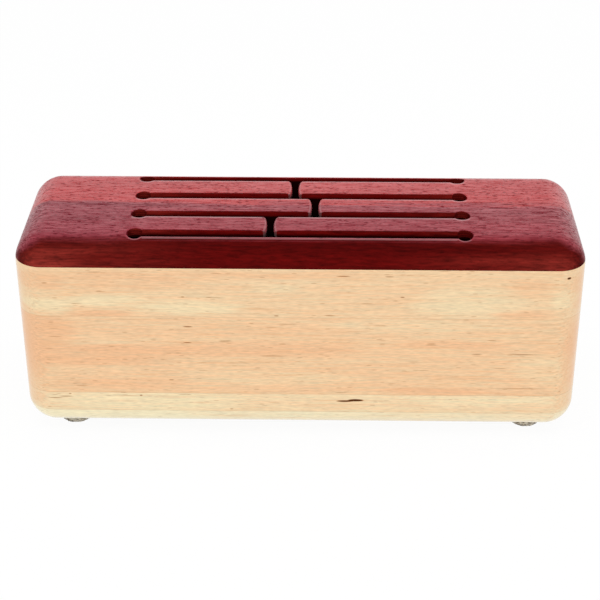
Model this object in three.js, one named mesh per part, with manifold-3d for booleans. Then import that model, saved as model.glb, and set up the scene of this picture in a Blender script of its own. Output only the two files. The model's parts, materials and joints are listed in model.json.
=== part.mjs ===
// A small six-tone slit drum: a red hardwood soundboard, sawn into six tongues by four long slits,
// glued on a hollow box of pale boards that stands on four felt feet.
// Millimetres, +Z up. X runs along the drum, -Y is the player's side, and Z = 0 is the table.
import * as THREE from "three";
import { RoundedBoxGeometry } from "three/addons/geometries/RoundedBoxGeometry.js";
import { mergeVertices } from "three/addons/utils/BufferGeometryUtils.js";
import Module from "manifold-3d";

// Driving dimensions of the box
const BOX_LENGTH = 300;
const BOX_WIDTH = 95;
const BOX_HEIGHT = 115; // without the feet
const EDGE_RADIUS = 16; // every outer edge is rounded over by the same cutter
const WALL_THICKNESS = 10;
const BOTTOM_THICKNESS = 13;
const LOWER_STAVE_HEIGHT = 11.5;
const MIDDLE_STAVE_HEIGHT = 48; // the upper stave takes what is left of the wall

// Driving dimensions of the soundboard
const SOUNDBOARD_THICKNESS = 13.5;
const SLIT_WIDTH = 6;
const SLIT_END_HOLE = 10; // diameter of the hole drilled at each end of a slit
const SLIT_TO_WALL = 1.5; // from the inside of a long wall to the edge of the outer slit
const ROOT_LAND = 64.4; // from an end of the box to the centres of the slit-end holes
const TIP_GAP = 3.6; // at the middle of two facing tongue tips, where they are closest
const TIP_RADIUS = 35; // each tip is crowned by an arc of this radius
const TIP_CORNER = 1.5; // radius of a tip's corners, seen from above
const TIP_ROUND = 1.7; // radius to which the upper edge of a tip is sanded
const ARRIS = 0.6; // bevel that eases the upper edges of the slits and tongues
const FLEX_GAP = 0.3; // parting line at a tongue's neck, where the tongue bends

// Each row of tongues: its name, and where its tip gap lies along the drum
const TONGUE_ROWS = [
  { name: "front", gapX: -15.6 },
  { name: "middle", gapX: 7.8 },
  { name: "back", gapX: -3.4 },
];

// Driving dimensions of the felt feet
const FELT_DIAMETER = 18;
const FELT_THICKNESS = 4;
const FELT_EDGE = 0.8; // radius of the worn lower rim
const FELT_FROM_END = 24.5; // from an end of the box to a foot's centre
const FELT_FROM_SIDE = 21; // from a long side of the box to a foot's centre

// How finely round forms are faceted
const ROUND_STEPS = 5; // steps in half of a rounded edge
const HOLE_STEPS = 24; // steps round the hole at the end of a slit
const TIP_STEPS = 6; // steps in each arc of a tongue's tip
const ROUND_TANGENTS = [30, 60]; // degrees at which bevels touch a sanded round
const BEVEL_LEAD = 0.1; // a bevel's cutter begins this far inside the cut, so it leaves no sliver
const FELT_STEPS = 32;
const WELD = 1e-4; // vertices closer than this are one

// Levels and places that follow from the driving dimensions
const halfLength = BOX_LENGTH / 2;
const halfWidth = BOX_WIDTH / 2;
const boxBottom = FELT_THICKNESS;
const boxTop = boxBottom + BOX_HEIGHT;
const wallTop = boxTop - SOUNDBOARD_THICKNESS;
const wallBottom = boxBottom + BOTTOM_THICKNESS;
const lowerSeam = wallBottom + LOWER_STAVE_HEIGHT;
const upperSeam = lowerSeam + MIDDLE_STAVE_HEIGHT;
const insideX = halfLength - WALL_THICKNESS;
const insideY = halfWidth - WALL_THICKNESS;
const allowance = EDGE_RADIUS; // how far the blanks stand out before the box is shaped
const blankX = halfLength + allowance;
const blankY = halfWidth + allowance;

const slitCount = TONGUE_ROWS.length + 1;
const windowHalfWidth = insideY - SLIT_TO_WALL;
const tongueWidth = (2 * windowHalfWidth - slitCount * SLIT_WIDTH) / TONGUE_ROWS.length;
const slitPitch = tongueWidth + SLIT_WIDTH;
const holeRadius = SLIT_END_HOLE / 2;
const rootX = halfLength - ROOT_LAND; // the necks and the slit-end holes lie at this distance
const slitY = (slit) => -windowHalfWidth + SLIT_WIDTH / 2 + slit * slitPitch;
const rowY = (row) => slitY(row) + slitPitch / 2;

// Finishes
const redWood = new THREE.MeshStandardMaterial({ color: 0x7a1c18, roughness: 0.42, metalness: 0 });
const paleWood = new THREE.MeshStandardMaterial({ color: 0xe3bd8a, roughness: 0.5, metalness: 0 });
const greyFelt = new THREE.MeshStandardMaterial({ color: 0x8b8578, roughness: 1, metalness: 0 });

const wasm = await Module();
wasm.setup();

// A closed three.js geometry as a solid that can be joined and cut
function solidFrom(geometry) {
  const bare = geometry.clone();
  bare.deleteAttribute("normal");
  bare.deleteAttribute("uv");
  const welded = mergeVertices(bare, WELD);
  const triVerts = new Uint32Array(welded.index.array);
  const vertProperties = welded.attributes.position.array;
  return new wasm.Manifold(new wasm.Mesh({ numProp: 3, vertProperties, triVerts }));
}

// A solid back as a three.js geometry
function geometryFrom(solid) {
  const mesh = solid.getMesh();
  const geometry = new THREE.BufferGeometry();
  geometry.setAttribute("position", new THREE.BufferAttribute(mesh.vertProperties, mesh.numProp));
  geometry.setIndex(new THREE.BufferAttribute(mesh.triVerts, 1));
  geometry.computeVertexNormals();
  return geometry;
}

// A rectangular block between two corners. Blocks that share a face share its exact numbers.
function block(low, high) {
  const geometry = new THREE.BoxGeometry(1, 1, 1);
  const position = geometry.attributes.position;
  for (let i = 0; i < position.count; i++) {
    const corner = [position.getX(i), position.getY(i), position.getZ(i)];
    position.setXYZ(i, ...corner.map((side, axis) => (side < 0 ? low[axis] : high[axis])));
  }
  return solidFrom(geometry);
}

// A cutter that bevels the upper edge of a cut in the soundboard
function bevelCutter(outline, wide, deep, arcSteps) {
  const reach = 1 + BEVEL_LEAD / wide;
  const geometry = new THREE.ExtrudeGeometry(outline, {
    depth: allowance,
    bevelSize: wide * reach,
    bevelThickness: deep * reach,
    bevelOffset: -BEVEL_LEAD,
    bevelSegments: 1,
    curveSegments: arcSteps / 2,
  });
  return solidFrom(geometry.translate(0, 0, boxTop));
}

// A cutter through the soundboard that also eases the upper edges of its cut
function soundboardCutter(outline, arcSteps) {
  const geometry = new THREE.ExtrudeGeometry(outline, {
    depth: SOUNDBOARD_THICKNESS + 2 * allowance,
    bevelEnabled: false,
    curveSegments: arcSteps / 2,
  });
  const through = solidFrom(geometry.translate(0, 0, wallTop - allowance));
  return through.add(bevelCutter(outline, ARRIS, ARRIS, arcSteps));
}

function piece(name, geometry, material) {
  const mesh = new THREE.Mesh(geometry, material);
  mesh.name = name;
  return mesh;
}

// The shaped outside of the glued-up box: every wooden blank is rounded over by it
function roundedOutside() {
  const geometry = new RoundedBoxGeometry(BOX_LENGTH, BOX_WIDTH, BOX_HEIGHT, ROUND_STEPS, EDGE_RADIUS);
  return solidFrom(geometry.translate(0, 0, boxBottom + BOX_HEIGHT / 2));
}
const outside = roundedOutside();
const shaped = (blank) => geometryFrom(blank.intersect(outside));

// The four walls. Each is a panel of three staves, edge to edge; the long walls cover the ends' edges.
function makeWalls() {
  const walls = new THREE.Group();
  const panels = [
    { name: "front_wall", low: [-blankX, -blankY], high: [blankX, -insideY] },
    { name: "back_wall", low: [-blankX, insideY], high: [blankX, blankY] },
    { name: "left_end", low: [-blankX, -insideY], high: [-insideX, insideY] },
    { name: "right_end", low: [insideX, -insideY], high: [blankX, insideY] },
  ];
  const staves = [
    { name: "lower_stave", from: wallBottom, to: lowerSeam },
    { name: "middle_stave", from: lowerSeam, to: upperSeam },
    { name: "upper_stave", from: upperSeam, to: wallTop },
  ];
  for (const panel of panels) {
    for (const stave of staves) {
      const blank = block([...panel.low, stave.from], [...panel.high, stave.to]);
      walls.add(piece(`${panel.name}_${stave.name}`, shaped(blank), paleWood));
    }
  }
  return walls;
}

// The bottom board, under the walls as the soundboard is over them, and rounded over with them
function makeBottom() {
  const blank = block([-blankX, -blankY, boxBottom - allowance], [blankX, blankY, wallBottom]);
  return piece("bottom_board", shaped(blank), paleWood);
}

// A slit seen from above: two long edges, with a round hole at each end
function slitOutline(y) {
  const edgeAngle = Math.asin(SLIT_WIDTH / 2 / holeRadius);
  const outline = new THREE.Shape();
  outline.absarc(-rootX, y, holeRadius, edgeAngle, 2 * Math.PI - edgeAngle, false);
  outline.absarc(rootX, y, holeRadius, Math.PI + edgeAngle, 3 * Math.PI - edgeAngle, false);
  outline.closePath();
  return outline;
}

// The gap between the two tips of a row: narrowest in its middle, since both tips are crowned.
// Each tip is a wide arc between two small corner arcs, and the gap runs out into both slits.
function tipGapOutline(gapX, y) {
  const cornerY = tongueWidth / 2 - TIP_CORNER;
  const cornerReach = TIP_RADIUS - TIP_CORNER;
  const crownAngle = Math.asin(cornerY / cornerReach);
  const crownX = TIP_GAP / 2 + TIP_RADIUS;
  const cornerX = crownX - Math.sqrt(cornerReach ** 2 - cornerY ** 2);
  const outline = new THREE.Shape();
  outline.moveTo(gapX - cornerX, y + slitPitch / 2);
  outline.absarc(gapX - cornerX, y + cornerY, TIP_CORNER, Math.PI / 2, crownAngle, true);
  outline.absarc(gapX - crownX, y, TIP_RADIUS, crownAngle, -crownAngle, true);
  outline.absarc(gapX - cornerX, y - cornerY, TIP_CORNER, -crownAngle, -Math.PI / 2, true);
  outline.lineTo(gapX - cornerX, y - slitPitch / 2);
  outline.lineTo(gapX + cornerX, y - slitPitch / 2);
  outline.absarc(gapX + cornerX, y - cornerY, TIP_CORNER, -Math.PI / 2, crownAngle - Math.PI, true);
  outline.absarc(gapX + crownX, y, TIP_RADIUS, Math.PI + crownAngle, Math.PI - crownAngle, true);
  outline.absarc(gapX + cornerX, y + cornerY, TIP_CORNER, Math.PI - crownAngle, Math.PI / 2, true);
  outline.lineTo(gapX + cornerX, y + slitPitch / 2);
  outline.closePath();
  return outline;
}

// Sands the upper edges of two facing tips round. The round runs along the crowns and out into both slits.
function tipSanding(gapX, y) {
  const crownAngle = Math.asin(slitPitch / 2 / TIP_RADIUS);
  const crownX = TIP_GAP / 2 + TIP_RADIUS;
  const outline = new THREE.Shape();
  outline.absarc(gapX - crownX, y, TIP_RADIUS, crownAngle, -crownAngle, true);
  outline.absarc(gapX + crownX, y, TIP_RADIUS, Math.PI + crownAngle, Math.PI - crownAngle, true);
  outline.closePath();
  const bevels = ROUND_TANGENTS.map((tangent) => {
    const half = THREE.MathUtils.degToRad(tangent) / 2;
    const wide = TIP_ROUND * (1 - Math.tan(Math.PI / 4 - half));
    const deep = TIP_ROUND * (1 - Math.tan(half));
    return bevelCutter(outline, wide, deep, TIP_STEPS);
  });
  return wasm.Manifold.union(bevels);
}

// The whole red board, shaped with the box, slit from end hole to end hole and cut across between tips
function slitBoard() {
  let board = block([-blankX, -blankY, wallTop], [blankX, blankY, boxTop + allowance]).intersect(outside);
  for (let slit = 0; slit < slitCount; slit++) {
    board = board.subtract(soundboardCutter(slitOutline(slitY(slit)), HOLE_STEPS));
  }
  TONGUE_ROWS.forEach((row, index) => {
    const y = rowY(index);
    board = board.subtract(soundboardCutter(tipGapOutline(row.gapX, y), TIP_STEPS));
    board = board.subtract(tipSanding(row.gapX, y));
  });
  return board;
}

// The board parts at the tongues' necks into the soundboard and two tongues in each row
function makeSoundboard() {
  const parts = new THREE.Group();
  const board = slitBoard();
  const low = wallTop - allowance;
  const high = boxTop + allowance;
  const landX = rootX + FLEX_GAP / 2;
  const neckX = rootX - FLEX_GAP / 2;
  const tongueArea = block([-landX, slitY(0), low], [landX, slitY(slitCount - 1), high]);
  parts.add(piece("soundboard", geometryFrom(board.subtract(tongueArea)), redWood));
  TONGUE_ROWS.forEach((row, index) => {
    const nearY = slitY(index);
    const farY = slitY(index + 1);
    const left = block([-neckX, nearY, low], [row.gapX, farY, high]);
    const right = block([row.gapX, nearY, low], [neckX, farY, high]);
    parts.add(piece(`${row.name}_left_tongue`, geometryFrom(board.intersect(left)), redWood));
    parts.add(piece(`${row.name}_right_tongue`, geometryFrom(board.intersect(right)), redWood));
  });
  return parts;
}

// A felt pad, turned from its half profile: flat above, with a worn lower rim
function feltGeometry() {
  const radius = FELT_DIAMETER / 2;
  const profile = new THREE.Path();
  profile.moveTo(0, 0);
  profile.lineTo(radius - FELT_EDGE, 0);
  profile.absarc(radius - FELT_EDGE, FELT_EDGE, FELT_EDGE, -Math.PI / 2, 0, false);
  profile.lineTo(radius, FELT_THICKNESS);
  profile.lineTo(0, FELT_THICKNESS);
  const geometry = new THREE.LatheGeometry(profile.getPoints(4), FELT_STEPS);
  return geometry.rotateX(Math.PI / 2);
}

function makeFeet() {
  const feet = new THREE.Group();
  const geometry = feltGeometry();
  const footX = halfLength - FELT_FROM_END;
  const footY = halfWidth - FELT_FROM_SIDE;
  for (const [sideName, sideY] of [["front", -1], ["back", 1]]) {
    for (const [endName, endX] of [["left", -1], ["right", 1]]) {
      const foot = piece(`${sideName}_${endName}_felt_foot`, geometry, greyFelt);
      foot.position.set(endX * footX, sideY * footY, 0);
      feet.add(foot);
    }
  }
  return feet;
}

const drum = new THREE.Group();
drum.name = "slit_drum";
drum.add(makeSoundboard(), makeWalls(), makeBottom(), makeFeet());

export default drum;
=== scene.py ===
# %% [markdown]
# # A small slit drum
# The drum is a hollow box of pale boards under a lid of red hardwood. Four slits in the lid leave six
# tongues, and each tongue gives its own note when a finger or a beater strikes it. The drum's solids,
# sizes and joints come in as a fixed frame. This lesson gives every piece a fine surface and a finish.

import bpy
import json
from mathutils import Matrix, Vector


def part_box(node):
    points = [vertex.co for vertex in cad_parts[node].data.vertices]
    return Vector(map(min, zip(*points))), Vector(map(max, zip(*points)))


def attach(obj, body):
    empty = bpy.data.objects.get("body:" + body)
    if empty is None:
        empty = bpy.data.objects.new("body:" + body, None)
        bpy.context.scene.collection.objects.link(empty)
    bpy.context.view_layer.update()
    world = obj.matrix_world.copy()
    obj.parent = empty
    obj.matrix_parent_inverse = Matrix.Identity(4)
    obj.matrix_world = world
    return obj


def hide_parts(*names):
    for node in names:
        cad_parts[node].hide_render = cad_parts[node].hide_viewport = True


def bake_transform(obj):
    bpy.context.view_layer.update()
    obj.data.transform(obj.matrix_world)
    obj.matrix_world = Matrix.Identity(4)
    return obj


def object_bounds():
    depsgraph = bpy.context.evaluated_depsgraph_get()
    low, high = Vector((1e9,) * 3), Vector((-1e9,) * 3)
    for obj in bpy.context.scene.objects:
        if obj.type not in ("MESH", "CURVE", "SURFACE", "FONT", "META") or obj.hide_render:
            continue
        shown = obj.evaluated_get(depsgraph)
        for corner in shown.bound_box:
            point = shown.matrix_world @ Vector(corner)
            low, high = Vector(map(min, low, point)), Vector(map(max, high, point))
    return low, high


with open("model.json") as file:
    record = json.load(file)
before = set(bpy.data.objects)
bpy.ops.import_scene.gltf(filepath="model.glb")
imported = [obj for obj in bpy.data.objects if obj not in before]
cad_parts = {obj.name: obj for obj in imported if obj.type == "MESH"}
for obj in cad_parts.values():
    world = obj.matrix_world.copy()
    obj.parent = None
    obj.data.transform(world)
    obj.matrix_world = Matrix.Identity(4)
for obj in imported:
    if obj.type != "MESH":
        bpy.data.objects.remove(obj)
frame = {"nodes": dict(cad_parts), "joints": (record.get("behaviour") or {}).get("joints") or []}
cad_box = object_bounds()

# %% [markdown]
# ## Sizes
# A piece that is drawn again has to sit exactly where the frame has it. So nearly every size is read
# from the frame: the box from its corners, the boards from their own boxes, and the tongues' necks from
# the hinges. Only the sizes of the tools that shaped the wood are written down, such as the cutter that
# rounded the box.

# %% Read the sizes
import json
import math

import bmesh
import bpy
from mathutils import Matrix, Vector, noise

MM = 0.001
EDGE_RADIUS = 16 * MM

half_length, half_width, top = cad_box[1]
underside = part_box("bottom_board")[0].z
floor_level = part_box("bottom_board")[1].z
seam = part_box("soundboard")[0].z
inside_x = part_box("right_end_middle_stave")[0].x
inside_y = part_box("back_wall_middle_stave")[0].y
corner_x = half_length - EDGE_RADIUS
corner_y = half_width - EDGE_RADIUS
necks = {joint["child"]: Vector(joint["pos_m"]) for joint in frame["joints"]}
neck_x = max(place.x for place in necks.values())
rows = sorted({round(place.y, 6) for place in necks.values()})
row_pitch = rows[1] - rows[0]
tongue_low, tongue_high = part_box("front_left_tongue")
tongue_width = tongue_high.y - tongue_low.y
slit_width = row_pitch - tongue_width
slit_rows = [rows[0] + row_pitch * (k - 0.5) for k in range(len(rows) + 1)]
print(f"box {2 * half_length / MM:.0f} by {2 * half_width / MM:.0f} mm, {top / MM:.0f} mm with its feet")
print(f"slits {slit_width / MM:.1f} mm wide, tongues {tongue_width / MM:.1f} mm wide")

# %% [markdown]
# ## Camera
# The picture was taken from in front of the drum and well above it, with a long lens, so the box hardly
# narrows towards the back. A camera could be placed by eye, but a box with known sizes allows better:
# its corners, slits and seams in the picture settle where the camera stood and which way it looked. The
# lens follows from the focal length in pixels and the width of the sensor.

# %% Place the camera
PICTURE_SIDE = 600
FOCAL_PIXELS = 1558
CAMERA_PLACE = Vector((14.9, -753.7, 494.0)) * MM
LOOK_DOWN = math.radians(29.93)
TURN_LEFT = math.radians(1.17)
TILT = math.radians(-0.13)

camera = bpy.data.objects.new("camera", bpy.data.cameras.new("camera"))
bpy.context.scene.collection.objects.link(camera)
camera.data.lens = camera.data.sensor_width * FOCAL_PIXELS / PICTURE_SIDE
aim = Matrix.Rotation(TURN_LEFT, 4, "Z") @ Matrix.Rotation(math.pi / 2 - LOOK_DOWN, 4, "X")
camera.matrix_world = Matrix.Translation(CAMERA_PLACE) @ aim @ Matrix.Rotation(TILT, 4, "Z")
bpy.context.scene.camera = camera
print(f"lens {camera.data.lens:.1f} mm, {CAMERA_PLACE.length / MM:.0f} mm from the foot of the drum")

# %% [markdown]
# ## Writing shaders as sums
# A material is a graph of nodes, and a graph is hard to read as code. Here one small class wraps an
# output socket. Plus, minus, times and divide between such outputs add Math nodes, so a mask is written
# as an ordinary sum. Every other node comes from one method, which takes the node's type, then its
# settings, then what goes into its sockets.

# %% Wrap a socket
class Field:
    """A value, colour or vector that changes over a surface."""

    def __init__(self, tree, socket=None):
        self.tree = tree
        self.socket = socket

    def add(self, kind, settings=None, sockets=None, out=0):
        """Adds a node and returns one of its outputs."""
        made = self.tree.nodes.new(kind)
        for name, value in (settings or {}).items():
            setattr(made, name, value)
        for name, value in (sockets or {}).items():
            if isinstance(value, Field):
                self.tree.links.new(value.socket, made.inputs[name])
            else:
                made.inputs[name].default_value = value
        return Field(self.tree, made.outputs[out] if made.outputs else None)

    def other(self, out):
        """Another output of the same node."""
        return Field(self.tree, self.socket.node.outputs[out])

    def math(self, operation, first, second):
        return self.add("ShaderNodeMath", {"operation": operation}, {0: first, 1: second})

    def __add__(self, other):
        return self.math("ADD", self, other)

    def __sub__(self, other):
        return self.math("SUBTRACT", self, other)

    def __rsub__(self, other):
        return self.math("SUBTRACT", other, self)

    def __mul__(self, other):
        return self.math("MULTIPLY", self, other)

    def __truediv__(self, other):
        return self.math("DIVIDE", self, other)

    def __abs__(self):
        return self.math("ABSOLUTE", self, 0.0)

    __radd__ = __add__
    __rmul__ = __mul__


skills = [name for name in vars(Field) if name.startswith("__r") or name.isalpha()]
print("a field knows:", ", ".join(skills))

# %% [markdown]
# ## Small helpers for surfaces
# Wood is a solid, so its figure is worked out in space and simply shows where a cut runs through it.
# That way the grain carries on over a rounded edge, and a board's end shows dots where its side shows
# dashes. All lengths in the materials are in millimetres, so that a grain line can be written at its
# real size.

# %% Begin and end a material
def begin(name):
    """A new material, and the place on the piece in millimetres."""
    material = bpy.data.materials.new(name)
    material.use_nodes = True
    material.node_tree.nodes.clear()
    place = Field(material.node_tree).add("ShaderNodeTexCoord", out="Object")
    at = place.add("ShaderNodeVectorMath", {"operation": "SCALE"}, {0: place, "Scale": 1 / MM})
    return material, at


def end(at, sockets):
    """Closes a material with one Principled shader."""
    skin = at.add("ShaderNodeBsdfPrincipled", {}, sockets)
    at.add("ShaderNodeOutputMaterial", {}, {"Surface": skin})


def split(vector):
    """The three numbers of a vector."""
    x = vector.add("ShaderNodeSeparateXYZ", {}, {0: vector})
    return x, x.other("Y"), x.other("Z")


def facing(at):
    """How far the surface looks along each axis, from -1 to 1."""
    return split(at.add("ShaderNodeNewGeometry", out="Normal"))


def raised(at, height, strength):
    """A normal that follows a height in millimetres."""
    return at.add("ShaderNodeBump", {}, {"Height": height, "Distance": MM, "Strength": strength})


print("a material runs from", begin.__name__, "to", end.__name__)

# %% [markdown]
# The figure itself needs a few more helpers: a soft step, a mix of two colours, noise, scattered
# spindles and soft ellipses. Each stands for a handful of nodes, which would fill pages if they were
# written out for every wood.

# %% Shape fields
def rise(value, low, high):
    """0 up to the low mark, 1 from the high one, smooth between. It falls if low is the larger."""
    sockets = {"Value": value, "From Min": low, "From Max": high}
    return value.add("ShaderNodeMapRange", {"interpolation_type": "SMOOTHSTEP"}, sockets)


def capped(value):
    """The value, but never more than 1."""
    return value.math("MINIMUM", value, 1.0)


def mixed(first, second, share):
    """A colour on the way from the first to the second."""
    maker = share if isinstance(share, Field) else first
    return maker.add("ShaderNodeMix", {"data_type": "RGBA"}, {0: share, 6: first, 7: second}, out=2)


def scaled(vector, amount):
    """A colour or vector times a number that changes over the surface."""
    return amount.add("ShaderNodeVectorMath", {"operation": "SCALE"}, {0: vector, "Scale": amount})


def vectors(operation, first, second):
    """Plus, minus, times or divide on each of a vector's three numbers."""
    return first.add("ShaderNodeVectorMath", {"operation": operation}, {0: first, 1: second})


def clouds(at, lengths, detail=2.0):
    """Soft noise from 0 to 1 whose blots have these lengths along the three axes."""
    cells = vectors("DIVIDE", at, lengths)
    return cells.add("ShaderNodeTexNoise", {}, {"Vector": cells, "Scale": 1.0, "Detail": detail})


def swings(at, lengths, detail):
    """The same noise to both sides of 0, from -0.5 to 0.5."""
    return clouds(at, lengths, detail) - 0.5


def dashes(at, lengths, size, share):
    """Spindles scattered through the wood, one to a cell, in only a share of the cells."""
    cells = vectors("DIVIDE", at, lengths)
    near = cells.add("ShaderNodeTexVoronoi", {}, {"Vector": cells, "Scale": 1.0}, out="Distance")
    draw = near.add("ShaderNodeSeparateColor", {}, {0: near.other("Color")})
    return rise(near, size, 0.5 * size) * rise(draw, share + 0.01, share)


def bent_grain(at, lengths, amount):
    """The place, shifted across the grain by slow noise, so that straight layers become wavy."""
    drift = clouds(at, lengths).other("Color")
    centred = vectors("SUBTRACT", drift, (0.5, 0.5, 0.5))
    return vectors("ADD", at, vectors("MULTIPLY", centred, (0, amount, amount)))


def patch(x, y, middle_x, middle_y, half_x, half_y):
    """1 in the middle of an ellipse, falling to 0 at its rim."""
    across = (x - middle_x) / half_x
    along = (y - middle_y) / half_y
    return rise(across * across + along * along, 1, 0.1)


helpers = (rise, capped, mixed, scaled, vectors, clouds, swings, dashes, bent_grain, patch)
print("field helpers:", ", ".join(helper.__name__ for helper in helpers))

# %% [markdown]
# ## Light
# The drum stands in plain soft studio light. A softbox hangs over it, a little to the front, and a
# white room fills the shadows. The room could simply be bright, but then it would bleach the pale
# boards. So it gives a measured fill, and only the camera and the reflections see it as white.

# %% Set the light
WHITE = (1, 1, 1, 1)
ROOM_FILL = 0.72
SOFTBOX_POWER = 9.5
SOFTBOX_SIDES = (1.4, 1.0)
SOFTBOX_PLACE = (0, -0.25, 1.3)
SOFTBOX_TILT = math.radians(10)


def seen_directly(field):
    """1 where the camera, a reflection or a clear surface looks, and 0 for light on its way."""
    path = field.add("ShaderNodeLightPath", out="Is Camera Ray")
    return capped(path + path.other("Is Glossy Ray") + path.other("Is Transmission Ray"))


scene = bpy.context.scene
scene.view_settings.view_transform = "Standard"
scene.world = bpy.data.worlds.new("white_room")
scene.world.use_nodes = True
scene.world.node_tree.nodes.clear()
room = Field(scene.world.node_tree)
strength = ROOM_FILL + (1 - ROOM_FILL) * seen_directly(room)
glow = room.add("ShaderNodeBackground", {}, {"Color": WHITE, "Strength": strength})
room.add("ShaderNodeOutputWorld", {}, {"Surface": glow})

softbox = bpy.data.lights.new("softbox", "AREA")
softbox.shape = "RECTANGLE"
softbox.size, softbox.size_y = SOFTBOX_SIDES
softbox.energy = SOFTBOX_POWER
lamp = bpy.data.objects.new("softbox", softbox)
lamp.matrix_world = Matrix.Translation(SOFTBOX_PLACE) @ Matrix.Rotation(SOFTBOX_TILT, 4, "X")
lamp.visible_glossy = False
scene.collection.objects.link(lamp)
print(f"a softbox of {SOFTBOX_POWER} W, {SOFTBOX_PLACE[2]} m above the floor")

# %% [markdown]
# ## Floor
# The drum stands on a white ground. A ground that only glows would lose the shadow that sets the drum
# down, and plain paper would look grey. So the floor is a pale sheet that takes the shadow, and for the
# camera it is lightened until it melts into the room.

# %% Lay the floor
FLOOR_SIDE = 8.0
FLOOR_PAPER = (0.9, 0.9, 0.9, 1)
FLOOR_GLOW = 0.95

floor_paint = bpy.data.materials.new("floor_paper")
floor_paint.use_nodes = True
floor_paint.node_tree.nodes.clear()
paper = Field(floor_paint.node_tree)
matt = paper.add("ShaderNodeBsdfDiffuse", {}, {"Color": FLOOR_PAPER})
white = paper.add("ShaderNodeEmission", {}, {"Color": WHITE, "Strength": 1.0})
shown = paper.add("ShaderNodeMixShader", {}, {0: FLOOR_GLOW * seen_directly(paper), 1: matt, 2: white})
paper.add("ShaderNodeOutputMaterial", {}, {"Surface": shown})

floor_mesh = bpy.data.meshes.new("floor")
reach = FLOOR_SIDE / 2
corners = [(-reach, -reach, 0), (reach, -reach, 0), (reach, reach, 0), (-reach, reach, 0)]
floor_mesh.from_pydata(corners, [], [(0, 1, 2, 3)])
floor_mesh.materials.append(floor_paint)
floor = bpy.data.objects.new("floor", floor_mesh)
scene.collection.objects.link(floor)
print(f"a floor of {FLOOR_SIDE} by {FLOOR_SIDE} m")

# %% [markdown]
# ## Red hardwood
# The lid is a dense red tropical wood. Its back half is bright red, and a plum-coloured band begins
# along a wavy line near the middle. The sides that look towards the player get a painted shade: dark
# maroon in the middle, darker still on the rounding, with rusty grain streaks and a rusty painted
# highlight towards the ends. Open pores show as dark dashes along the grain, and a few single veins are
# larger. A picture of wood wrapped round the lid would smear on the rounded edges, so the figure is built
# in space from stretched noise.

# %% Figure the red hardwood
# Colours of the painted shade on the sides that look to the player, with its rusty streaks and highlight.
MAROON = (0.092, 0.0022, 0.002, 1)
RUST = (0.225, 0.024, 0.017, 1)
# The figure's lengths along the drum, across it and in depth, in millimetres.
RINGS = (48, 1.1, 1.1)
LONG_PORES = (4.6, 1.6, 1.6)
SHORT_PORES = (2.6, 1, 1)
# Each vein has x, y, half length and half width in millimetres, and a strength.
VEINS = [
    (-114, -0.4, 20, 1.1, 0.6),
    (111.5, 2.5, 4, 1.1, 1.0),
    (120, 2.4, 4, 0.8, 0.6),
    (107, -1.8, 10, 1.4, 0.5),
    (1, 1.9, 4, 0.7, 0.9),
    (-21, 16, 5, 0.5, 0.8),
    (92, 24.7, 6, 0.7, 0.5),
    (-128, -10.5, 6, 0.7, 0.6),
]


def pore_marks(x, y, grain, plum, front_shade):
    """Open pores, dark growth rings and single veins. They show less on the sides with the painted shade.
    """
    marks = dashes(grain, LONG_PORES, 0.33, 0.85) + 0.7 * dashes(grain, SHORT_PORES, 0.34, 0.8)
    marks = marks + (0.15 + 0.55 * plum) * rise(clouds(grain, RINGS, 2), 0.57, 0.66)
    for vein_x, vein_y, half_x, half_y, amount in VEINS:
        marks = marks + amount * patch(x, y, vein_x, vein_y, half_x, half_y)
    return capped(marks) * (1 - 0.6 * front_shade)


def front_shade_colour(x, look_y, layers):
    """The painted shade on the sides that look to the player: darker on the rounding, with rusty grain
    streaks and a rusty painted highlight towards the ends of the drum.
    """
    upright = rise(look_y, -0.6, -0.95)
    streaks = rise(layers, -0.5, 0.5) * rise(abs(x), 40, 130)
    streaks = streaks * (0.45 + 0.6 * upright - 0.25 * rise(x, 0, 80))
    # A rusty painted highlight near the ends of the drum, stronger at the left end.
    ends = (0.5 - 0.3 * rise(x, 60, 100)) * rise(abs(x), 105, 140) * upright
    # The rounding looks less straight at the player, so it is painted darker as painted shade.
    return scaled(mixed(MAROON, RUST, streaks + ends), 0.69 + 0.29 * upright)


print("single veins in the lid:", len(VEINS))

# %% [markdown]
# The walls of the slits get painted light near the top and painted shade below, darker the deeper they
# lie, down to black. The drill left rings in the holes at the slits' ends. Close to, these holes look a
# little smaller than in the frame, so they are drawn that much smaller and touch the frame's holes at
# their outer ends. Painting the walls as pieces of their own would leave a border, so one function paints
# the wood wherever it faces a slit.

# %% Paint light and shade in the slits
DRILL_RADIUS = 5 * MM
HOLE_RADIUS = 4.6 * MM
# The near-black of the painted shade deep in the slits.
SLIT_SHADE = (0.003, 0.0004, 0.0005, 1)
# Depths in millimetres of the painted shade: down to the first the walls are not darkened, from the
# second on they are black.
UNSHADED_DEPTH = 1.4
BLACK_DEPTH = 3.6
HOLE_DEEPER = 1.5
# The drill's rings, in radians to a millimetre.
RING_RATE = 5

hole_x = neck_x + DRILL_RADIUS - HOLE_RADIUS
hole_middle = hole_x / MM
hole_tip = (hole_x + HOLE_RADIUS) / MM
slit_side = (slit_rows[-1] + slit_width / 2) / MM


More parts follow.
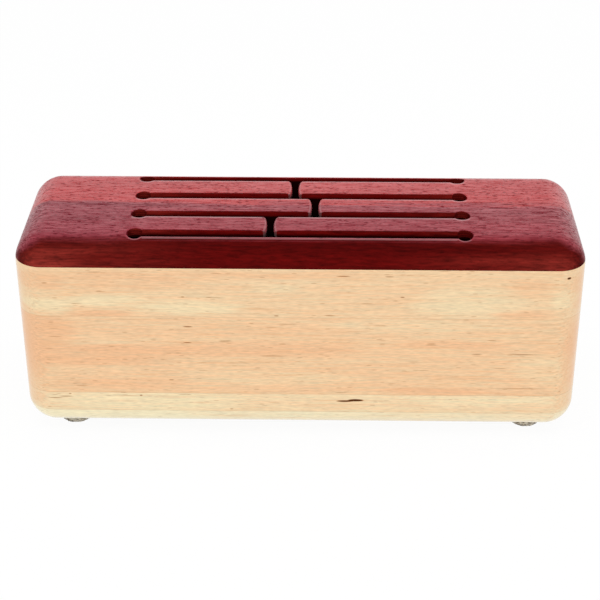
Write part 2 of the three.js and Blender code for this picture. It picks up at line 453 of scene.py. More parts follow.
def slit_light_and_shade(colour, x, y, z, look_z):
    """The wood's colour on the walls of the slits and of the holes at their ends, with painted light near
    the top and painted shade deeper down.
    """
    sunk = top / MM - z
    in_rows = rise(abs(y), slit_side + 1.4, slit_side + 0.6)
    in_length = rise(abs(x), hole_tip + 1.9, hole_tip + 0.9)
    wall = in_rows * in_length * rise(look_z, 0.5, 0.2)
    in_hole = rise(abs(x), hole_middle - 4, hole_middle - 2.5)
    # Painted light: the walls of the slits are brightened, those of the holes less.
    lit_walls = scaled(colour, 1 + wall * (0.9 - 0.4 * in_hole))
    drill_rings = 0.2 + 0.2 * sunk.math("SINE", RING_RATE * sunk, 0.0)
    # Painted shade: the walls darken with depth, down to black, and in the holes it begins deeper.
    depth_shade = 0.95 * rise(sunk - HOLE_DEEPER * in_hole, UNSHADED_DEPTH, BLACK_DEPTH)
    return mixed(lit_walls, SLIT_SHADE, wall * (drill_rings * in_hole + depth_shade))


print(f"holes of {2 * HOLE_RADIUS / MM:.1f} mm end {hole_tip:.1f} mm from the middle of the drum")

# %% [markdown]
# The lid is oiled to a satin gloss. A clear coat stands for the oil: it is taken off the sides with the
# painted shade, so that they reflect little, and the fibres and pores break it up, so that the gloss
# looks like wood and not like plastic. Some eased edges are painted paler, a painted highlight. One
# function
# mixes the wood for all three states: oiled, with a faint painted highlight, and with a stronger one.

# %% Oil the red hardwood
BRIGHT_RED = (0.358, 0.018, 0.021, 1)
PLUM = (0.192, 0.012, 0.026, 1)
PORE = (0.055, 0.003, 0.006, 1)
SHADED_PORE = (0.015, 0.001, 0.001, 1)
# The pale pink of the painted highlight on eased edges.
HIGHLIGHT_PINK = (0.62, 0.46, 0.47, 1)
RED_WAVES = (95, 40, 40)
RED_SWAY = 9
RED_LAYERS = (170, 3.6, 3.6)
RED_FIBRES = (8, 1.1, 1.1)
PLUM_WANDER = (34, 90, 90)
PLUM_STARTS = 5
PLUM_FULL = -1
DARKEST_TONE = 0.2


def red_hardwood(name, highlit):
    """The lid's wood. The second argument is the share of a painted highlight mixed into its colour."""
    material, at = begin(name)
    x, y, z = split(at)
    look_x, look_y, look_z = facing(at)
    grain = bent_grain(at, RED_WAVES, RED_SWAY)
    layers = swings(grain, RED_LAYERS, 3)
    fibres = swings(grain, RED_FIBRES, 2)
    wander = swings(at, PLUM_WANDER, 3)
    left_end = rise(x, -70, -105)
    plum = rise(y + 11 * wander + 16 * layers, PLUM_STARTS, PLUM_FULL) * (0.78 + 0.13 * left_end)
    # Painted shade: the faces that look to the player darken, the front corners with them, and a little
    # more at the left end.
    sideways = abs(look_x) * rise(look_z, 0.4, 0.9)
    front_shade = rise(look_y + 0.5 * sideways + 0.4 * layers + 0.09 * left_end, -0.1, -0.5)
    pores = pore_marks(x, y, grain, plum, front_shade)
    wood = mixed(mixed(BRIGHT_RED, PLUM, plum), front_shade_colour(x, look_y, layers), front_shade)
    tone = 1.13 + 0.6 * layers + (0.9 + 0.4 * plum + 0.5 * front_shade) * fibres
    colour = scaled(wood, tone.math("MAXIMUM", tone, DARKEST_TONE))
    colour = mixed(colour, mixed(PORE, SHADED_PORE, front_shade), 0.6 * pores)
    # The slit walls get their painted light and shade, and the second argument mixes in the painted
    # highlight.
    colour = mixed(slit_light_and_shade(colour, x, y, z, look_z), HIGHLIGHT_PINK, highlit)
    # The coat is taken off where shade is painted and where a highlight is painted. It is weighted more
    # towards the back and at the right end, which brightens the reflection there.
    film = (0.64 + 0.0064 * y + 0.096 * rise(x, 126, 146)) * (1 - front_shade) * (1 - 1.5 * highlit)
    end(at, {
        "Base Color": colour,
        "Roughness": 0.5 + 0.3 * fibres + 0.2 * pores,
        "Specular IOR Level": 0.02,
        "Coat Weight": capped(film * (1 + (2.5 + 0.6 * plum) * fibres - 0.75 * pores)),
        "Coat Roughness": 0.25,
        "Coat IOR": 1.75,
        "Normal": raised(at, 0.06 * fibres - 0.10 * pores, 0.5),
    })
    return material


red_wood = red_hardwood("red_hardwood", 0.0)
# The same wood with a stronger and a fainter painted highlight, for eased edges.
highlit_wood = red_hardwood("red_hardwood_highlit", 0.3)
faintly_highlit_wood = red_hardwood("red_hardwood_faintly_highlit", 0.14)
print("red hardwood:", len(red_wood.node_tree.nodes), "nodes")

# %% [markdown]
# ## Pale boards
# The box is glued up from narrow boards of a pale, close-grained wood under clear lacquer. Each board
# comes from another place of the plank, so neighbours differ a little, from cream to peach, and
# hairlines of glue show between them. Small brown flecks are scattered along the grain, finer pores
# gather in clusters, and the inside of the box is painted nearly black, a painted shade for the hollow.
# Flecks could be painted, but then a board's end would show dashes too. So they are spindles in space,
# like the lid's pores.

# %% Fleck the pale boards
LONG_FLECKS = (38, 2.2, 2.2)
SHORT_FLECKS = (14, 2.2, 2.2)
FINE_PORES = (20, 1.7, 1.7)
FINER_PORES = (9, 1.3, 1.3)
PORE_CLUSTERS = (60, 9, 9)


def fleck_marks(grain):
    """Brown flecks, long and short."""
    return dashes(grain, LONG_FLECKS, 0.12, 0.4) + 0.8 * dashes(grain, SHORT_FLECKS, 0.14, 0.4)


def pore_clusters(grain):
    """Fine pores, which gather in some parts of the board."""
    pores = dashes(grain, FINE_PORES, 0.14, 0.5) + dashes(grain, FINER_PORES, 0.22, 0.7)
    return pores * rise(clouds(grain, PORE_CLUSTERS, 2), 0.3, 0.6)


def hollow_shade(x, y, z):
    """1 on the faces that look into the hollow of the box, where a near-black shade is painted."""
    between_ends = rise(abs(x), inside_x / MM + 0.4, inside_x / MM + 0.1)
    between_walls = rise(abs(y), inside_y / MM + 0.4, inside_y / MM + 0.1)
    return between_ends * between_walls * rise(z, floor_level / MM - 0.6, floor_level / MM - 0.1)


print(f"the hollow is {2 * inside_x / MM:.0f} by {2 * inside_y / MM:.0f} mm")

# %% [markdown]
# Each board could have a material drawn by hand, but one function can mix them all. It shifts the
# figure to another place of the plank, turns it for the end walls, leaves flecks off the end grain and
# darkens a hairline along the glued edges. The lacquer is a clear coat that is missing on the flecks.

# %% Mix the pale boards
CREAM = (0.94, 0.755, 0.455, 1)
MILK = (0.955, 0.81, 0.51, 1)
# The bottom board is painted paler than the walls, painted light bounced up from the white floor.
FLOOR_LIT_BONE = (0.99, 0.895, 0.60, 1)
PEACH = (0.92, 0.52, 0.27, 1)
STREAK_BROWN = (0.76, 0.45, 0.21, 1)
FLECK = (0.32, 0.09, 0.008, 1)
BARK = (0.055, 0.014, 0.003, 1)
GLUE = (0.50, 0.29, 0.14, 1)
HOLLOW_SHADE = (0.02, 0.012, 0.007, 1)
GLUE_WIDTH = 0.3
PALE_WAVES = (120, 50, 50)
PALE_SWAY = 6
SPOT_WAVES = (60, 25, 14)
SPOT_SWAY = 7
PALE_BANDS = (130, 5, 5)
PALE_STREAKS = (40, 1.3, 1.3)
PALE_LINES = (18, 0.8, 0.8)
PALE_FIBRES = (4.5, 0.75, 0.75)


def pale_board(name, low, high, shift, turn, cream, peach, spots=(), marks=()):
    """A board between two heights. Spots tint it cream or peach, and marks are single dark flecks."""
    material, at = begin(name)
    x, y, z = split(at)
    look_x, look_y, _ = facing(at)
    side_grain = rise(abs(look_y if turn else look_x), 0.9, 0.3)
    plank = at.add("ShaderNodeMapping", {}, {"Vector": at, "Location": shift, "Rotation": (0, 0, turn)})
    grain = bent_grain(plank, PALE_WAVES, PALE_SWAY)
    bands = swings(grain, PALE_BANDS, 3)
    streaks = swings(grain, PALE_STREAKS, 3)
    lines = swings(grain, PALE_LINES, 3) * side_grain
    fibres = swings(grain, PALE_FIBRES, 1) * side_grain
    warmth = peach + 0.6 * bands + 0.7 * streaks + 1.3 * lines
    wavy_x, _, wavy_z = split(bent_grain(at, SPOT_WAVES, SPOT_SWAY))
    for spot_x, spot_z, half_x, half_z, amount in spots:
        warmth = warmth + amount * patch(wavy_x, wavy_z, spot_x, spot_z, half_x, half_z)
    colour = mixed(cream, PEACH, rise(warmth, -0.5, 1.5))
    colour = mixed(colour, STREAK_BROWN, 0.45 * rise(streaks + 0.5 * lines, 0.02, 0.35))
    colour = scaled(colour, 0.98 + 0.36 * lines + 0.36 * fibres)
    flecks = fleck_marks(grain)
    dark = (0.6 * flecks + 0.42 * pore_clusters(grain)) * side_grain
    for mark_x, mark_z, half_x, half_z, amount in marks:
        dark = dark + amount * patch(x, z, mark_x, mark_z, half_x, half_z)
    dull = capped(dark)
    colour = mixed(colour, FLECK, 0.8 * dull)
    colour = mixed(colour, BARK, 0.9 * rise(dark, 0.9, 1.9))
    glued = rise(z, low + GLUE_WIDTH, low) + rise(z, high - GLUE_WIDTH, high)
    colour = mixed(colour, GLUE, 0.3 * glued)
    end(at, {
        # The inside of the box is painted nearly black, a painted shade.
        "Base Color": mixed(colour, HOLLOW_SHADE, hollow_shade(x, y, z)),
        "Roughness": 0.5,
        "Specular IOR Level": 0.05,
        "Coat Weight": 1 - dull,
        "Coat Roughness": 0.1,
        "Coat IOR": 1.55,
        "Normal": raised(at, 0.04 * lines - 0.05 * flecks, 0.4),
    })
    return material


print("pale boards run from", CREAM[:3], "to", PEACH[:3])

# %% [markdown]
# ## Felt
# The feet are discs cut from grey pressed felt, a mottled mix of pale and dark wool. Wool scatters
# light in its loose surface hairs. Hairs could be grown one by one, but the feet show only as slivers,
# so a little sheen stands for them. The mottle is soft noise, and the strands are noise stretched two
# ways.

# %% Mix the felt
PALE_WOOL = (0.96, 0.90, 0.79, 1)
DARK_WOOL = (0.28, 0.24, 0.19, 1)
MOTTLE = (1.6, 1.6, 0.9)
STRANDS_ALONG = (2.2, 0.25, 0.25)
STRANDS_ACROSS = (0.25, 2.2, 0.25)


def grey_felt():
    material, at = begin("grey_felt")
    mottle = clouds(at, MOTTLE, 4)
    strands = clouds(at, STRANDS_ACROSS, 2) + clouds(at, STRANDS_ALONG, 2)
    end(at, {
        "Base Color": mixed(DARK_WOOL, PALE_WOOL, rise(0.6 * mottle + 0.2 * strands, 0.42, 0.56)),
        "Roughness": 1.0,
        "Specular IOR Level": 0.1,
        "Sheen Weight": 0.3,
        "Sheen Roughness": 0.6,
        "Normal": raised(at, 0.3 * strands + 0.4 * mottle, 0.7),
    })
    return material


felt = grey_felt()
print("felt:", len(felt.node_tree.nodes), "nodes")

# %% [markdown]
# ## Lofting a board
# Every piece of the drum is a stack of like outlines: a board's outline changes only a little from its
# lower face to its upper one, where the box's rounded edges cut into it. So one function takes rings of
# points, skins them with quads and closes the two ends. Smooth shading with sharp corners, and normals
# weighted by area, keep the flat faces flat.

# %% Skin the rings
SHARP = math.radians(32)
WELD = 1e-7


def skinned(name, rings, ladder=False):
    """A closed mesh through the rings. A ladder closes the ends with quads between mirrored points."""
    shape = bmesh.new()
    loops = [[shape.verts.new(point) for point in ring] for ring in rings]
    count = len(loops[0])
    for lower, upper in zip(loops, loops[1:]):
        for k in range(count):
            shape.faces.new((lower[k - 1], lower[k], upper[k], upper[k - 1]))
    for loop in (loops[0], loops[-1]):
        if ladder:
            for k in range((count - 1) // 2):
                rung = (loop[k], loop[k + 1], loop[count - 2 - k], loop[count - 1 - k])
                shape.faces.new(dict.fromkeys(rung))
        else:
            shape.faces.new(loop)
    bmesh.ops.remove_doubles(shape, verts=shape.verts, dist=WELD)
    bmesh.ops.recalc_face_normals(shape, faces=shape.faces)
    mesh = bpy.data.meshes.new(name)
    shape.to_mesh(mesh)
    shape.free()
    piece = bpy.data.objects.new(name, mesh)
    bpy.context.scene.collection.objects.link(piece)
    return piece


def dressed(piece, material, slot, *nodes):
    """Gives a piece its finish and says which pieces of the frame it stands for."""
    piece.data.materials.clear()
    piece.data.materials.append(material)
    piece.data.shade_smooth()
    piece.data.set_sharp_from_angle(angle=SHARP)
    piece.modifiers.new("even normals", "WEIGHTED_NORMAL").keep_sharp = True
    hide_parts(*nodes)
    return piece


def arc(middle, radius, start, stop, steps):
    """Points round a middle, from a start angle to a stop angle in degrees."""
    turns = [math.radians(start + (stop - start) * k / steps) for k in range(steps + 1)]
    return [(middle[0] + radius * math.cos(a), middle[1] + radius * math.sin(a)) for a in turns]


print("corners sharper than", round(math.degrees(SHARP)), "degrees stay sharp")

# %% [markdown]
# ## Boards of the box
# The walls are glued up from three boards each, the long walls cover the edges of the short ones, and a
# bottom board closes the box. Once glued, the whole box was rounded over with one cutter, so all the
# boards share one envelope. Cutting each board from a rounded block would work too. Here the outlines
# are lofted, because every level of the envelope is the same rounded rectangle, drawn in by a known
# amount.

# %% Outline the boards
ROUND_STEPS = 16
CORNER_STEPS = 12


def drawn_in(z):
    """How far the envelope lies inside the full box at a height."""
    past = max(underside + EDGE_RADIUS - z, z - (top - EDGE_RADIUS), 0)
    return EDGE_RADIUS - math.sqrt(max(EDGE_RADIUS**2 - past**2, 0))


def levels(low, high):
    """Heights from one to another, close together where the envelope is rounded."""
    dips = [EDGE_RADIUS * (1 - math.cos(math.pi / 2 * k / ROUND_STEPS)) for k in range(ROUND_STEPS + 1)]
    marks = [underside + dip for dip in dips] + [top - dip for dip in dips]
    return [low] + sorted(z for z in marks if low + WELD < z < high - WELD) + [high]


def whole_outline(z):
    radius = EDGE_RADIUS - drawn_in(z)
    quarter = arc((corner_x, corner_y), radius, 90, 0, CORNER_STEPS)
    half = quarter + [(x, -y) for x, y in reversed(quarter)]
    return half + [(-x, y) for x, y in reversed(half)]


def long_wall_outline(z, side):
    radius = EDGE_RADIUS - drawn_in(z)
    joint = math.degrees(math.asin((inside_y - corner_y) / radius))
    corner = arc((corner_x, corner_y), radius, joint, 90, CORNER_STEPS)
    return [(x, side * y) for x, y in corner + [(-x, y) for x, y in reversed(corner)]]


def end_wall_outline(z, side):
    radius = EDGE_RADIUS - drawn_in(z)
    joint = math.degrees(math.asin((inside_y - corner_y) / radius))
    half = [(inside_x, inside_y)] + arc((corner_x, corner_y), radius, joint, 0, CORNER_STEPS)
    return [(side * x, y) for x, y in half + [(x, -y) for x, y in reversed(half)]]


def board(name, outline, low, high, *side):
    """A board of the box, lofted through the envelope's levels."""
    rings = [[(x, y, z) for x, y in outline(z, *side)] for z in levels(low, high)]
    return skinned(name, rings, ladder=True)


print("the envelope draws in by", round(drawn_in(seam) / MM, 2), "mm at the lid's seam")

# %% [markdown]
# The front of the box is the side that shows most, so its boards get what the plank shows there: a
# cream streak low in the upper board with a peach tongue reaching into it, a warmer left end, a short
# dark bark pocket low down, and the larger flecks. Noise can't be told where to put them, so each is a
# soft ellipse at its own place.

# %% Note the front's figure
# Each spot and mark has x, z, half length and half height in millimetres, and a strength.
# Spots below 0 are cream, the others peach.
FRONT_SPOTS = {
    "upper": [
        (-133, 83, 18, 5, -0.7), (-102, 87, 26, 5, -0.6), (-58, 82, 38, 5, -0.7), (-106, 78, 22, 4, 0.6),
        (-14, 93, 20, 3, -0.4), (88, 86, 36, 12, -0.5), (139, 88, 10, 7, -0.5), (-50, 102, 110, 4, 0.3),
        (118, 79, 22, 3.5, 0.5), (121, 97, 16, 7, 0.3), (-137, 98, 18, 7, 0.4), (-95, 97, 50, 7, 0.25),
        (148, 92, 9, 14, 0.4),
    ],
    "middle": [
        (-143, 68, 30, 14, 0.6), (-146, 50, 14, 18, 0.4), (-20, 57, 70, 7, 0.35), (-108, 53, 55, 9, 0.5),
        (80, 60, 40, 3.5, 0.35), (-95, 34, 45, 5, 0.3), (72, 31, 36, 3, 0.4), (-15, 40, 60, 6, -0.3),
        (132, 46, 22, 12, -0.35), (60, 72, 70, 5, -0.3), (149, 52, 12, 26, 0.5),
    ],
    "lower": [
        (75, 21, 65, 5, 0.15), (-148, 25, 14, 9, 0.4), (148, 25, 14, 9, 0.4), (125, 21, 25, 3, 0.2),
        (-85, 23, 60, 8, -0.35), (95, 25, 40, 5, -0.2), (0, 22, 40, 8, 0.15),
    ],
    "bottom": [(-100, 10, 60, 14, -0.5), (100, 10, 70, 14, 0.1)],
}
FRONT_MARKS = {
    "upper": [
        (23, 101.7, 4.5, 0.38, 1.0), (47, 101.6, 3, 0.35, 0.8), (140, 100.8, 1.3, 0.8, 2.2),
        (54, 89.4, 1.4, 0.45, 0.9), (-61, 88.6, 1.2, 0.45, 0.8), (-45, 88.4, 6, 0.3, 0.5),
        (16, 78, 3.5, 0.4, 0.7), (-12, 77.6, 1.6, 0.45, 0.8), (-133, 96.4, 2, 0.35, 0.8),
    ],
    "middle": [
        (-59, 70.5, 3.2, 0.45, 1.1), (-59.5, 60.6, 2.8, 0.4, 1.0), (-14, 52.7, 8, 0.35, 0.7),
        (94.5, 54.8, 3.5, 0.35, 0.7), (119, 54.8, 10, 0.35, 0.8), (119, 33.2, 16, 0.35, 0.6),
        (43, 72, 5, 0.35, 0.5), (-6, 72.4, 7, 0.3, 0.5), (-40, 61.4, 3.5, 0.35, 0.7),
        (-9, 60.2, 2.6, 0.35, 0.7), (70, 61, 3, 0.35, 0.7), (102, 63.4, 3, 0.35, 0.6),
        (-69, 37, 1.8, 0.4, 0.8),
    ],
    "lower": [
        (24.6, 24.2, 5.5, 0.7, 1.8), (30.6, 24.8, 5, 0.9, 2.4), (-133, 24.8, 5, 0.45, 0.75),
        (-127, 25.8, 5, 0.45, 0.75), (-124.6, 27.6, 1, 0.45, 0.8), (-133, 26.8, 2, 0.3, 0.5),
        (-92, 26.5, 6, 0.3, 0.35), (-86, 26.8, 1, 0.5, 1.0), (-37, 18.4, 1.2, 0.45, 0.7),
    ],
}
print("spots:", sum(map(len, FRONT_SPOTS.values())), "marks:", sum(map(len, FRONT_MARKS.values())))

# %% [markdown]
# The boards can now be made in one loop over the walls and their staves. Each takes its heights from
# its own box in the frame, and its figure from another place of the plank.

# %% Build the boards
STAVES = {"lower": (MILK, 0.2), "middle": (CREAM, 0.68), "upper": (CREAM, 0.47)}
WALLS = {
    "front_wall": (long_wall_outline, -1, 0),
    "back_wall": (long_wall_outline, 1, 0),
    "left_end": (end_wall_outline, -1, math.pi / 2),
    "right_end": (end_wall_outline, 1, math.pi / 2),
}
BASE_PEACH = -0.1
PLANK_STEP = (217, 43, 61)

boards = []
for wall, (outline, side, turn) in WALLS.items():
    for stave, (cream, peach) in STAVES.items():
        node = f"{wall}_{stave}_stave"
        low, high = (corner.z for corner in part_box(node))
        shift = [step * (len(boards) + 1) for step in PLANK_STEP]
        spots = FRONT_SPOTS[stave] if wall == "front_wall" else ()
        marks = FRONT_MARKS[stave] if wall == "front_wall" else ()
        name = f"pale_wood_{wall}_{stave}"
        wood = pale_board(name, low / MM, high / MM, shift, turn, cream, peach, spots, marks)
        piece = board(f"{wall}_{stave}_board", outline, low, high, side)
        boards.append(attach(dressed(piece, wood, "pale_wood", node), "drum_box"))

low, high = (corner.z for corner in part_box("bottom_board"))
spots = FRONT_SPOTS["bottom"]
# The bottom board takes the paler colour, a painted light from the floor.
wood = pale_board("pale_wood_bottom", low / MM, high / MM, PLANK_STEP, 0, FLOOR_LIT_BONE, BASE_PEACH, spots)
piece = board("base_board", whole_outline, low, high)
boards.append(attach(dressed(piece, wood, "pale_wood", "bottom_board"), "drum_box"))
print("boards:", len(boards), "with", sum(len(piece.data.polygons) for piece in boards), "faces")

# %% [markdown]
# ## Lid
# The lid is the top of the same envelope with one window cut out, in which the tongues lie. Along the
# slits and the drilled holes the edge was eased with fine paper, in strokes away from the player. An
# edge that looks to the back is eased wide and shallow, and one that looks to the player is only
# broken. A bevel modifier has one width for all edges. So the window is a cutter lofted through the
# slits' outline, which widens near the surface by as much as each edge asks. It follows the surface,
# because the outer slits already lie on the rounding. At the six necks it is straight, since the
# tongues go on there.

# %% Ease the window's edge
PLAYER_EASE = Vector((1.1, 0.6)) * MM
FAR_EASE = Vector((1.7, 0.25)) * MM
HOLE_STEPS = 24


def lid_height(y):
    past = max(abs(y) - corner_y, 0)
    return top - EDGE_RADIUS + math.sqrt(EDGE_RADIUS**2 - past**2)


def eased(size, turn):
    """How wide and how deep an eased edge is cut away where it has turned so far from upright."""
    angle = math.radians(turn)
    return size[0] * (1 - math.cos(angle)), size[1] * (1 - math.sin(angle))


def hole_arc(y, start, stop, turn, beyond):
    """Round a hole, from one angle to another. The wood there looks towards the hole's middle."""
    points = []
    for k in range(HOLE_STEPS + 1):
        angle = math.radians(start + (stop - start) * k / HOLE_STEPS)
        looks_back = min(max(0.5 - math.sin(angle), 0), 1)
        size = PLAYER_EASE.lerp(FAR_EASE, looks_back)
        wide, deep = eased(size, turn)
        radius = HOLE_RADIUS + wide + beyond * size[0]
        lift = beyond * size[1] / math.tan(math.radians(turn)) if beyond else 0
        place = (hole_x + radius * math.cos(angle), y + radius * math.sin(angle))
        points.append((*place, lid_height(place[1]) - deep + lift))
    return points


def mouth_angle(size, turn, beyond):
    """Where an outer slit's edge meets its hole, in degrees from the slit's line."""
    wide = eased(size, turn)[0] + beyond * size[0]
    return math.degrees(math.asin((slit_width / 2 + wide) / (HOLE_RADIUS + wide)))


print("the lid drops by", round((top - lid_height(slit_rows[0])) / MM, 2), "mm at the outer slits")

# %% [markdown]
# The cutter is made of these rings and reaches past the wood on both sides, so that no two faces lie in
# each other. A Boolean takes it away from the lid. It could stay on the lid as a modifier, but the cut
# mesh is kept instead, because its faces get finishes of their own.

# %% Cut the lid
EASE_TURNS = (0, 20, 40, 60, 75)
# The cutter flares on past the surface by this share of the ease's width.
EASE_BEYOND = 0.5
CUT_PAST = 3 * MM


def window_ring(turn, beyond=0.0):
    """Round all the slits at one turn of the eased edge, or past it, outside the wood."""
    half = []
    for y in slit_rows:
        start = mouth_angle(FAR_EASE, turn, beyond) - 180 if y == slit_rows[0] else -90
        stop = 180 - mouth_angle(PLAYER_EASE, turn, beyond) if y == slit_rows[-1] else 90
        half += hole_arc(y, start, stop, turn, beyond)
    return half + [(-x, y, z) for x, y, z in reversed(half)]


def window_rings():
    through = [(x, y, seam - CUT_PAST) for x, y, z in window_ring(EASE_TURNS[0])]
    rings = [through] + [window_ring(turn) for turn in EASE_TURNS]
    outside = window_ring(EASE_TURNS[-1], EASE_BEYOND)
    return rings + [outside, [(x, y, top + CUT_PAST) for x, y, z in outside]]


lid = board("lid_board", whole_outline, seam, top)
cutter = skinned("window_cutter", window_rings())
cut = lid.modifiers.new("window", "BOOLEAN")
cut.operation = "DIFFERENCE"
cut.solver = "EXACT"
cut.object = cutter
finished = bpy.data.meshes.new_from_object(lid.evaluated_get(bpy.context.evaluated_depsgraph_get()))
lid.modifiers.remove(cut)
lid.data = finished
bpy.data.objects.remove(cutter)
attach(dressed(lid, red_wood, "red_hardwood", "soundboard"), "drum_box")
print("lid:", len(lid.data.polygons), "faces after the window was cut")

# %% [markdown]
# The eased edges that look to the back catch the light as thin bright lines, so their faces get a paler
# wood, a painted highlight. In front of the first slit the edge already lies on the rounding, so its
# painted highlight is fainter. The highlight could be a mask in the material, but the mesh knows its
# edges better: a face is picked by where it lies and which way it looks.

# %% Paint highlights on the lid's edges
OILED, HIGHLIT_EDGE, FAINTLY_HIGHLIT = range(3)
# Limits on a face's normal: how far it leans back, and how steep and how flat it may be.
LEAST_LEAN = 0.008
STEEP_WALL = 0.3
FLAT_TOP = 0.99995
# The share of the ease in front of a hole that gets the faint painted highlight.
HOLE_RIM = 0.6


def far_edge(face):
    """Whether a face belongs to an eased edge that looks away from the player."""
    looks_back = face.normal.y > max(LEAST_LEAN, abs(face.normal.x))
    return looks_back and STEEP_WALL < face.normal.z < FLAT_TOP and face.center.y < corner_y


def eased_front(place):
    """Whether a point lies on the edge in front of the first slit and its end holes."""
    ahead = slit_rows[0] - place.y
    by_slit = abs(place.x) < hole_x and -WELD < ahead - slit_width / 2 < FAR_EASE[0]
    from_hole = math.hypot(abs(place.x) - hole_x, ahead) - HOLE_RADIUS
    before_hole = ahead > abs(place.x) - hole_x and -WELD < from_hole < HOLE_RIM * FAR_EASE[0]
    return by_slit or before_hole


# Each face of the lid gets the oiled wood or one of the two painted highlights.
def lid_finish(face):
    if face.normal.z > STEEP_WALL and all(eased_front(lid.data.vertices[k].co) for k in face.vertices):
        return FAINTLY_HIGHLIT
    by_slits = abs(face.center.x) < hole_x + HOLE_RADIUS + FAR_EASE[0]
    return HIGHLIT_EDGE if by_slits and far_edge(face) else OILED


def finish_faces(piece, finishes):
    """Adds the two woods with painted highlights to the oiled one and gives each face its own."""
    piece.data.materials.append(highlit_wood)
    piece.data.materials.append(faintly_highlit_wood)
    for face, finish in zip(piece.data.polygons, finishes):
        face.material_index = finish


lid_finishes = [lid_finish(face) for face in lid.data.polygons]
finish_faces(lid, lid_finishes)
print("highlit faces:", lid_finishes.count(HIGHLIT_EDGE), "faintly highlit faces:", lid_finishes.count(FAINTLY_HIGHLIT))

# %% [markdown]
# ## Tongues
# On the real drum the tongues and the lid are one board. A tongue begins at its neck, between the two
# holes where it is narrowest, and ends in a shallow crown with rounded corners. The crown's upper edge
# is rounded over more than the long edges are. A plain strip cut with holes would need a Boolean for
# each tongue, so its outline is drawn instead, from the neck line itself and with no gap there.

# %% Outline a tongue
BEND_LENGTH = 14 * MM
BEND_STEPS = 3
TIP_RADIUS = 35 * MM
TIP_CORNER = 1.5 * MM
TIP_EASE = Vector((1.8, 1.5)) * MM
TIP_STEPS = 10


def tongue_half(length, turn, side, low=None):
    """A tongue's edge from neck to tip along +x, on the player's side (-1) or the far side (1)."""
    wide, deep = eased(FAR_EASE if side > 0 else PLAYER_EASE, turn)
    tip_wide, tip_deep = eased(TIP_EASE, turn)
    radius = HOLE_RADIUS + wide
    half_tongue = tongue_width / 2 - wide
    mouth = math.degrees(math.asin((slit_width / 2 + wide) / radius))
    crown = length - tip_wide - TIP_RADIUS
    corner_up = half_tongue - TIP_CORNER
    corner_out = math.sqrt((TIP_RADIUS - TIP_CORNER) ** 2 - corner_up**2)
    tip_turn = math.degrees(math.atan2(corner_up, corner_out))
    edge = [(x, y, deep) for x, y in arc((0, row_pitch / 2), radius, -90, -mouth, HOLE_STEPS // 2)]
    edge += [(BEND_LENGTH * k / BEND_STEPS, half_tongue, deep) for k in range(2, BEND_STEPS + 1)]
    for k, (x, y) in enumerate(arc((crown + corner_out, corner_up), TIP_CORNER, 90, tip_turn, TIP_STEPS)):
        edge.append((x, y, deep + (tip_deep - deep) * k / TIP_STEPS))
    edge += [(x, y, tip_deep) for x, y in arc((crown, 0), TIP_RADIUS, tip_turn, 0, TIP_STEPS)[1:]]
    return [(x, side * y, top - depth if low is None else low) for x, y, depth in edge]


def tongue_ring(length, turn, low=None):
    return tongue_half(length, turn, 1, low) + tongue_half(length, turn, -1, low)[-2::-1]


print("a tongue's outline has", len(tongue_ring(tongue_high.x - tongue_low.x, 0)), "points")

# %% [markdown]
# A struck tongue bends at its neck. Riding on its hinge as a stiff piece, it would tear away from the
# lid there. All six take the lid's wood at their own place, and their tips carry a faint painted
# highlight.

# %% Saw the tongues
EASE_STEPS = 8
# How far down a tongue's tip the faint painted highlight reaches. The mesh has a ring there.
HIGHLIT_DEPTH = 4 * MM
TIP_LEAN = 0.3


# The tip's upper wall gets the faint painted highlight, and the eased edges that look to the back get the
# stronger one.
def tongue_finish(face, neck, inwards, length):
    at_tip = inwards * face.normal.x > TIP_LEAN and inwards * (face.center.x - neck.x) > length / 2
    if at_tip and face.center.z > top - HIGHLIT_DEPTH:
        return FAINTLY_HIGHLIT
    return HIGHLIT_EDGE if far_edge(face) else OILED


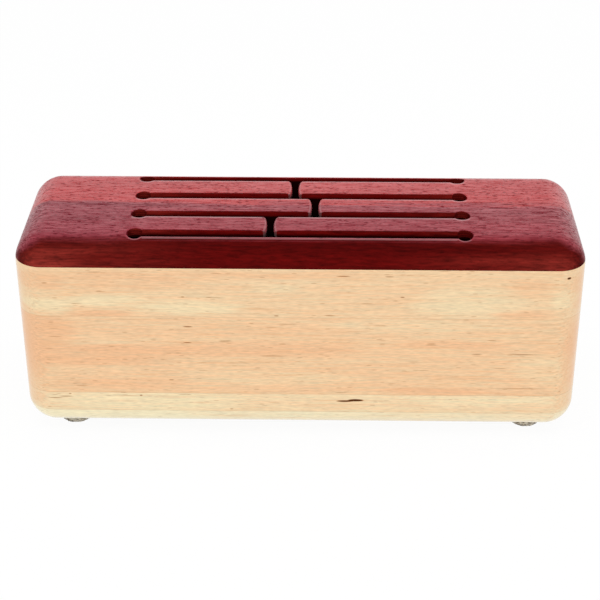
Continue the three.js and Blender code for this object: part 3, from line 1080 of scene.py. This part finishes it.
for body, neck in necks.items():
    node = f"{body}_tongue"
    inwards = -1 if neck.x > 0 else 1
    low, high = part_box(node)
    root = -inwards * hole_x
    length = high.x - root if inwards > 0 else root - low.x
    rings = [tongue_ring(length, 0, seam), tongue_ring(length, 0, top - HIGHLIT_DEPTH)]
    rings += [tongue_ring(length, 90 * k / EASE_STEPS) for k in range(EASE_STEPS + 1)]
    rings = [[(root + inwards * x, neck.y + y, z) for x, y, z in ring] for ring in rings]
    tongue = dressed(skinned(f"{body}_key", rings, ladder=True), red_wood, "red_hardwood", node)
    finish_faces(tongue, [tongue_finish(face, neck, inwards, length) for face in tongue.data.polygons])
    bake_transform(tongue)
    print(f"{node}: {length / MM:.1f} mm from neck to tip")

# %% [markdown]
# ## Felt feet
# Four discs of felt keep the box off the table and let it sound. A felt disc is soft: its edge bulges
# under the drum's weight and is never quite round. A plain cylinder would look like rubber. So the disc
# is lofted from rings that bulge, and fine noise pushes its points in by a few tenths of a millimetre.

# %% Press the feet
FELT_POINTS = 72
FELT_RINGS = 10
FELT_BULGE = 0.5 * MM
FELT_ROUGH = 0.6 * MM
FELT_GRAIN = 0.8 * MM
MOST_NOISE = 0.6

feet = []
for node in sorted(name for name in frame["nodes"] if name.endswith("felt_foot")):
    low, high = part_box(node)
    middle = (low + high) / 2
    radius = (high.x - low.x) / 2
    rings = []
    for k in range(FELT_RINGS + 1):
        share = k / FELT_RINGS
        swell = math.sin(math.pi * share)
        ring = []
        for x, y in arc((middle.x, middle.y), radius, 0, 360 * (1 - 1 / FELT_POINTS), FELT_POINTS - 1):
            point = Vector((x, y, low.z + share * (high.z - low.z)))
            push = FELT_BULGE * (swell - 1) + FELT_ROUGH * (noise.noise(point / FELT_GRAIN) - MOST_NOISE)
            out = Vector((x - middle.x, y - middle.y, 0)).normalized()
            ring.append(point + push * out)
        rings.append(ring)
    foot = dressed(skinned(node.replace("felt_foot", "pad"), rings), felt, "felt", node)
    feet.append(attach(foot, "drum_box"))
print("feet:", ", ".join(foot.name for foot in feet))

# %% [markdown]
# ## Size
# The finish may not change what the drum measures. The frame's box was kept at the start.
